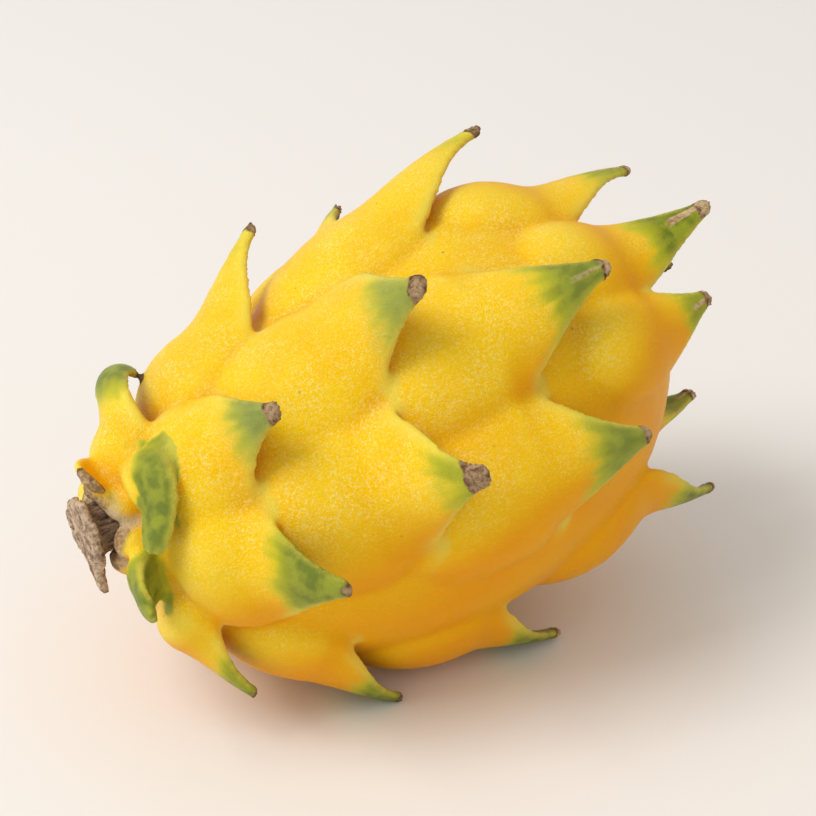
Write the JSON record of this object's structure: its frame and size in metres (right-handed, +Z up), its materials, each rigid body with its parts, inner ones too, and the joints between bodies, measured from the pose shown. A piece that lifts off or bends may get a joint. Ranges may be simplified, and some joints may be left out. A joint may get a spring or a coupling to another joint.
{
  "type": "dragon fruit",
  "caption": "Yellow dragon fruit lying on its side: an egg-shaped rind with mounds that end in curved green-tipped scales, and a dry woody stem stub.",
  "frame": {"origin": "centre of the bounding box's base, on the surface that the fruit rests on", "axes": "+Z up, +X along the fruit's long axis towards the blossom end, stem at -X"},
  "size_m": [0.1348, 0.103, 0.0906],
  "materials": {
    "rind": "waxy yellow skin with a fine cream speckle, green leaf ends and brown dried tips",
    "dry_stem": "dry, fibrous, grey-brown wood, matte"
  },
  "bodies": {
    "root": {"fruit": "rind", "stem": "dry_stem"}
  },
  "joints": []
}
